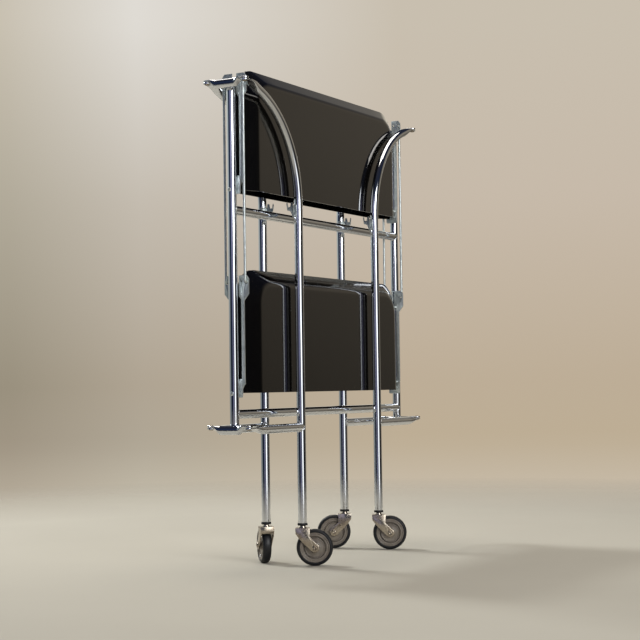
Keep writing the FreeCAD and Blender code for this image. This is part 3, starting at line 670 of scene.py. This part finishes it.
def build_castor(row_name, side_name):
    """A fork with its axle rivet, and a grooved wheel disc with its tyre."""
    name = f"{row_name}_{side_name}"
    body, wheel_body = f"castor_{name}", f"wheel_{name}"
    refined(f"castor_fork_{name}", "nickel", body, width=0.9)
    joint = next(j for j in frame["joints"] if j["name"] == f"wheel_{name}_spin")
    axis = Vector(joint["axis"])
    centre = Vector(joint["pos_m"]) / MM
    # Half of each turned outline: its radius and its distance from the wheel's middle plane.
    half = [
        (3.1, 9.8),
        (7.0, 9.8),
        (8.2, 7.4),
        (9.4, 6.2),
        (16.2, 5.1),
        (17.0, 6.2),
        (17.9, 6.0),
        (18.2, 2.6),
        (20.0, 2.6),
        (20.4, 6.0),
        (21.4, 6.7),
        (24.4, 6.0),
        (25.0, 7.3),
        (26.4, 7.3),
        (27.1, 6.7),
    ]
    disc = lathe(soften(both_sides(half), 0.5, 3), centre, axis, 96)
    piece(f"wheel_disc_{name}", *disc, "wheel", wheel_body, (f"castor_wheel_{name}",))
    tread = [(27.0, 7.0), (27.8, 8.0), (29.6, 8.0), (31.4, 6.9), (32.6, 4.8), (33.0, 1.6)]
    tyre = lathe(soften(both_sides(tread), 1.4, 4), centre, axis, 120)
    piece(f"tyre_ring_{name}", *tyre, "tyre", wheel_body, (f"castor_tyre_{name}",))
    head = [
        (0, 13.6),
        (1.6, 13.7),
        (2.2, 14.5),
        (3.4, 14.2),
        (4.5, 13.0),
        (4.6, 12.25),
        (3.0, 12.25),
    ]
    rivet = lathe(soften(both_sides(head), 0.4, 3), centre, axis, 48)
    piece(f"axle_rivet_{name}", *rivet, "nickel", body, (f"castor_axle_{name}",))


# ---- trays ----


def tray_outline(half, rise, radius, depth):
    """A row of points up one end of a tray, round its two corners and down the other end."""
    left = [Vector((-half, depth, (rise - radius) * i / 6)) for i in range(6)]
    for i in range(17):
        turn = math.pi - math.pi / 2 * i / 16
        x = -half + radius + radius * math.cos(turn)
        z = rise - radius + radius * math.sin(turn)
        left.append(Vector((x, depth, z)))
    along = [-half + radius + 2 * (half - radius) * i / 12 for i in range(1, 12)]
    right = [Vector((-point.x, depth, point.z)) for point in reversed(left)]
    return left + [Vector((x, depth, rise)) for x in along] + right


def wall_outline(share):
    """The outline a share of the way from the panel's border out to the rim."""
    return tray_outline(
        PANEL_HALF + (RIM_HALF - PANEL_HALF) * share,
        PANEL_RISE + (RIM_RISE - PANEL_RISE) * share,
        CORNER_RADIUS + FLARE * share,
        -PANEL_OUT + (PANEL_OUT - RIM_GAP) * share,
    )


def tray_shell():
    """Half a tray as one sheet: the flat panel, and a soft fold and flared wall on three sides."""

    def inset(by):
        return tray_outline(PANEL_HALF - by, PANEL_RISE - by, CORNER_RADIUS - by, -PANEL_OUT)

    fold = list(zip(inset(FOLD_INSET), wall_outline(0), wall_outline(FOLD_END)))
    rows = [inset(PANEL_INSET)]
    for i in range(13):
        t = i / 12
        rows.append([a * (1 - t) ** 2 + b * 2 * t * (1 - t) + c * t**2 for a, b, c in fold])
    rows += [wall_outline(FOLD_END + (WALL_END - FOLD_END) * i / 8) for i in range(1, 9)]
    rows += [wall_outline(LAST_LOOP), wall_outline(1.0)]
    vertices, faces = skin(rows, closed=False, capped=False)
    faces.append(list(range(len(fold))))
    return vertices, faces


def keep_rim_crisp(mesh):
    """Marks the open border as sharp, so that the cut edge doesn't bend the light beside it."""
    work = bmesh.new()
    work.from_mesh(mesh)
    for edge in work.edges:
        if edge.is_boundary:
            edge.smooth = False
    work.to_mesh(mesh)
    work.free()


def build_tray(level, row_name):
    """One tray half: a thin open shell given its sheet thickness, and its end arms."""
    node = f"{level}_tray_{row_name}"
    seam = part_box(f"{level}_tray_front")[0].z / MM
    body = f"{node}_half"
    turn = Matrix.Rotation(0 if row_name == "front" else math.pi, 3, "Z")
    vertices, faces = tray_shell()
    vertices = [turn @ v + Z * seam for v in vertices]
    shell = piece(f"{node}_shell", vertices, faces, "tray", body, (node,), sharp=50)
    keep_rim_crisp(shell.data)
    sheet = shell.modifiers.new("sheet", "SOLIDIFY")
    sheet.thickness = SHEET * MM
    sheet.offset = -1
    refined(f"{level}_arms_{row_name}", "zinc", body)


def link_rod(node, side):
    """A wire rod whose two ends are bent inward as hooks."""
    low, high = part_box(node)
    x, y = side * LINK_LINE, (low.y + high.y) / 2 / MM
    bottom, top = low.z / MM + WIRE_RADIUS, high.z / MM - WIRE_RADIUS
    lower = [Vector((x - side * reach, y, bottom)) for reach in (WIRE_HOOK, WIRE_BEND + 1)]
    for i in range(9):
        turn = math.pi / 2 * i / 8
        inward, rise = WIRE_BEND * (1 - math.sin(turn)), WIRE_BEND * (1 - math.cos(turn))
        lower.append(Vector((x - side * inward, y, bottom + rise)))
    straight = top - bottom - 2 * WIRE_BEND
    middle = [Vector((x, y, bottom + WIRE_BEND + straight * i / 12)) for i in range(1, 12)]
    upper = [Vector((p.x, p.y, top + bottom - p.z)) for p in reversed(lower)]
    return run_of(lower + middle + upper, WIRE_RADIUS)


def build_links():
    """The four rods that tie the upper tray halves to the lower ones."""
    for row_name in ROWS:
        for side_name, side in SIDES.items():
            node = f"link_rod_{row_name}_{side_name}"
            body = f"link_{row_name}_{side_name}"
            piece(f"{node}_bent", *link_rod(node, side), "zinc", body, (node,))


build_frame()
for row_name, side_name in LEGS:
    build_leg(row_name, side_name)
    build_castor(row_name, side_name)
for level in LEVELS:
    for row_name in ROWS:
        build_tray(level, row_name)
build_links()


# ---- studio ----

# The camera's place in metres and its three directions.
RIGHT = Vector((0.480005, -0.877152, -0.014131))
UP = Vector((-0.028299, -0.031582, 0.999100))
AHEAD = Vector((0.876809, 0.479173, 0.039983))
CAMERA_PLACE = Vector((-2.67467, -1.45774, 0.32632))
FLAT_AHEAD = Vector((AHEAD.x, AHEAD.y, 0)).normalized()
FLAT_RIGHT = Vector((RIGHT.x, RIGHT.y, 0)).normalized()


def build_camera():
    """The camera, low down and off one corner of the trolley."""
    data = bpy.data.cameras.new("camera")
    data.sensor_width = 36
    data.lens = 90
    camera = bpy.data.objects.new("camera", data)
    turn = Matrix((RIGHT, UP, -AHEAD)).transposed()
    camera.matrix_world = Matrix.Translation(CAMERA_PLACE) @ turn.to_4x4()
    bpy.context.scene.collection.objects.link(camera)
    bpy.context.scene.camera = camera


def build_floor():
    """A round pale floor that fades into the backdrop towards its edge."""
    rings, spokes, radius = 24, 96, 2.6
    turns = [2 * math.pi * s / spokes for s in range(spokes)]
    vertices = [(0, 0, 0)]
    faces = []
    for ring in range(1, rings + 1):
        r = radius * ring / rings
        vertices += [(r * math.cos(turn), r * math.sin(turn), 0) for turn in turns]
    for s in range(spokes):
        n = (s + 1) % spokes
        faces.append((0, 1 + s, 1 + n))
        for ring in range(rings - 1):
            a, b = 1 + ring * spokes, 1 + (ring + 1) * spokes
            faces.append((a + s, b + s, b + n, a + n))
    mesh = bpy.data.meshes.new("floor")
    mesh.from_pydata(vertices, [], faces)
    made = Surface("floor_paper", Roughness=0.9, Specular_IOR_Level=0.15)
    tone = made.noise(3, 4)
    made.colour(made.mix(tone, (0.53, 0.50, 0.425, 1), (0.57, 0.54, 0.46, 1)))
    away = made.node("ShaderNodeVectorMath", Vector=made.place)
    away.operation = "LENGTH"
    fade = made.spread(away.outputs["Value"], 1.1, 2.5)
    clear = made.tree.nodes.new("ShaderNodeBsdfTransparent")
    blend = made.tree.nodes.new("ShaderNodeMixShader")
    made.feed(blend.inputs[0], fade)
    made.feed(blend.inputs[1], made.shader.outputs[0])
    made.feed(blend.inputs[2], clear.outputs[0])
    made.feed(made.tree.nodes["Material Output"].inputs["Surface"], blend.outputs[0])
    mesh.materials.append(made.material)
    floor = bpy.data.objects.new("floor", mesh)
    bpy.context.scene.collection.objects.link(floor)


def build_world():
    """A pale backdrop to look at, with painted shade and a painted pool of light on it, and the
    studio that the bright parts reflect.
    """
    world = bpy.data.worlds.new("studio")
    bpy.context.scene.world = world
    world.use_nodes = True
    tree = world.node_tree
    background = tree.nodes["Background"]

    def feed(socket, value):
        """Sets a socket to a number or links another node's output to it."""
        if isinstance(value, float):
            socket.default_value = value
        else:
            tree.links.new(value, socket)

    def dot(direction):
        """How far the direction looked in leans toward another."""
        made = tree.nodes.new("ShaderNodeVectorMath")
        made.operation = "DOT_PRODUCT"
        tree.links.new(look, made.inputs[0])
        made.inputs[1].default_value = direction
        return made.outputs["Value"]

    def ramp(value, stops):
        """Turns a value into a colour by stops of (position, colour)."""
        made = tree.nodes.new("ShaderNodeValToRGB")
        tree.links.new(value, made.inputs[0])
        line = made.color_ramp
        for element, (position, tone) in zip(line.elements, (stops[0], stops[-1])):
            element.position, element.color = position, (*tone, 1)
        for position, tone in stops[1:-1]:
            line.elements.new(position).color = (*tone, 1)
        return made.outputs["Color"]

    def mix(share, one, other, blend="MIX"):
        """A blend of two colours by a share."""
        made = tree.nodes.new("ShaderNodeMix")
        made.data_type = "RGBA"
        made.blend_type = blend
        feed(made.inputs[0], share)
        tree.links.new(one, made.inputs[6])
        tree.links.new(other, made.inputs[7])
        return made.outputs[2]

    def arithmetic(operation, one, other):
        """One step of arithmetic between two values."""
        made = tree.nodes.new("ShaderNodeMath")
        made.operation = operation
        feed(made.inputs[0], one)
        feed(made.inputs[1], other)
        return made.outputs[0]

    look = tree.nodes.new("ShaderNodeTexCoord").outputs["Generated"]
    turn = arithmetic("ARCTAN2", dot(FLAT_RIGHT), dot(-FLAT_AHEAD))
    share_round = arithmetic("ADD", arithmetic("MULTIPLY", turn, 0.5 / math.pi), 0.5)
    height = arithmetic("ADD", arithmetic("MULTIPLY", dot(Z), 0.5), 0.5)

    black, white = (0, 0, 0), (1, 1, 1)
    navy = (0.012, 0.020, 0.045)
    lamp_white = (2.4, 2.4, 2.4)
    paper = (0.50, 0.46, 0.38)
    dusk = (0.19, 0.165, 0.13)
    around = ramp(
        share_round,
        [
            (0.0, paper),
            (0.20, (0.45, 0.46, 0.43)),
            (0.28, (0.22, 0.26, 0.28)),
            (0.31, navy),
            (0.42, navy),
            (0.44, (0.26, 0.26, 0.40)),
            (0.49, (0.34, 0.34, 0.48)),
            (0.505, navy),
            (0.545, navy),
            (0.555, lamp_white),
            (0.625, lamp_white),
            (0.64, (0.01, 0.012, 0.02)),
            (0.76, (0.02, 0.02, 0.02)),
            (0.80, dusk),
            (0.88, dusk),
            (1.0, paper),
        ],
    )
    rising = ramp(height, [(0.49, (0.7, 0.7, 0.7)), (0.58, (1.5, 1.5, 1.5))])
    around = mix(1.0, around, rising, "MULTIPLY")
    above = ramp(
        height,
        [
            (0.0, (0.3, 0.27, 0.21)),
            (0.5, (0.2, 0.2, 0.22)),
            (0.72, navy),
            (1.0, (0.03, 0.03, 0.04)),
        ],
    )
    steep = ramp(height, [(0.0, white), (0.44, black), (0.66, black), (0.78, white)])
    studio = mix(steep, around, above)

    def wall(*tones):
        """The backdrop's tones from the floor to high up, along one upright line, with painted
        shade darkening the band at the horizon.
        """
        return ramp(height, list(zip((0.461, 0.4825, 0.501, 0.557, 0.611), tones)))

    # Painted shade: toward its left edge the backdrop is darker, most of all near the horizon.
    edge = wall(
        (0.50, 0.44, 0.35),
        (0.35, 0.30, 0.23),
        (0.32, 0.28, 0.21),
        (0.44, 0.40, 0.32),
        (0.58, 0.53, 0.44),
    )
    # Painted light: a brighter pool high up in the middle of the backdrop.
    painted_light_pool = wall(
        (0.57, 0.52, 0.42),
        (0.43, 0.38, 0.30),
        (0.43, 0.37, 0.29),
        (0.55, 0.50, 0.43),
        (0.74, 0.71, 0.66),
    )
    plain = wall(
        (0.59, 0.52, 0.42),
        (0.51, 0.42, 0.30),
        (0.51, 0.42, 0.31),
        (0.57, 0.49, 0.40),
        (0.58, 0.52, 0.43),
    )
    sideways = arithmetic("ADD", dot(FLAT_RIGHT), 0.5)
    to_painted_light_pool = ramp(sideways, [(0.31, black), (0.39, white)])
    to_plain = ramp(sideways, [(0.39, black), (0.55, white)])
    seen = mix(to_plain, mix(to_painted_light_pool, edge, painted_light_pool), plain)
    camera_ray = tree.nodes.new("ShaderNodeLightPath").outputs["Is Camera Ray"]
    tree.links.new(mix(camera_ray, studio, seen), background.inputs["Color"])


def soft_light(name, place, target, size, power, tint=(1, 1, 1)):
    """A rectangular lamp turned toward a target, out of the camera's sight."""
    data = bpy.data.lights.new(name, "AREA")
    data.shape = "RECTANGLE"
    data.size, data.size_y = size
    data.energy = power
    data.color = tint
    lamp = bpy.data.objects.new(name, data)
    lamp.location = place
    lamp.visible_camera = False
    lamp.rotation_mode = "QUATERNION"
    lamp.rotation_quaternion = (Vector(target) - Vector(place)).to_track_quat("-Z", "Y")
    bpy.context.scene.collection.objects.link(lamp)


def build_lights():
    """A key behind the trolley's left, a fill in front and a warm light above."""
    middle = Vector((0, 0, 0.45))
    behind_left = middle - FLAT_RIGHT * 1.83 + FLAT_AHEAD * 1.4 + Z * 1.93
    front = middle + FLAT_RIGHT * 1.8 - FLAT_AHEAD * 2.6 + Z * 1.2
    top = middle + Z * 2.6 + FLAT_AHEAD * 0.4
    soft_light("key", behind_left, middle, (0.55, 0.55), 54, (0.96, 0.99, 1.0))
    soft_light("fill", front, middle, (1.2, 1.6), 32)
    soft_light("top", top, middle, (2.2, 2.2), 52, (1.0, 0.93, 0.84))


build_camera()
build_floor()
build_world()
build_lights()
bpy.context.scene.view_settings.view_transform = "Standard"
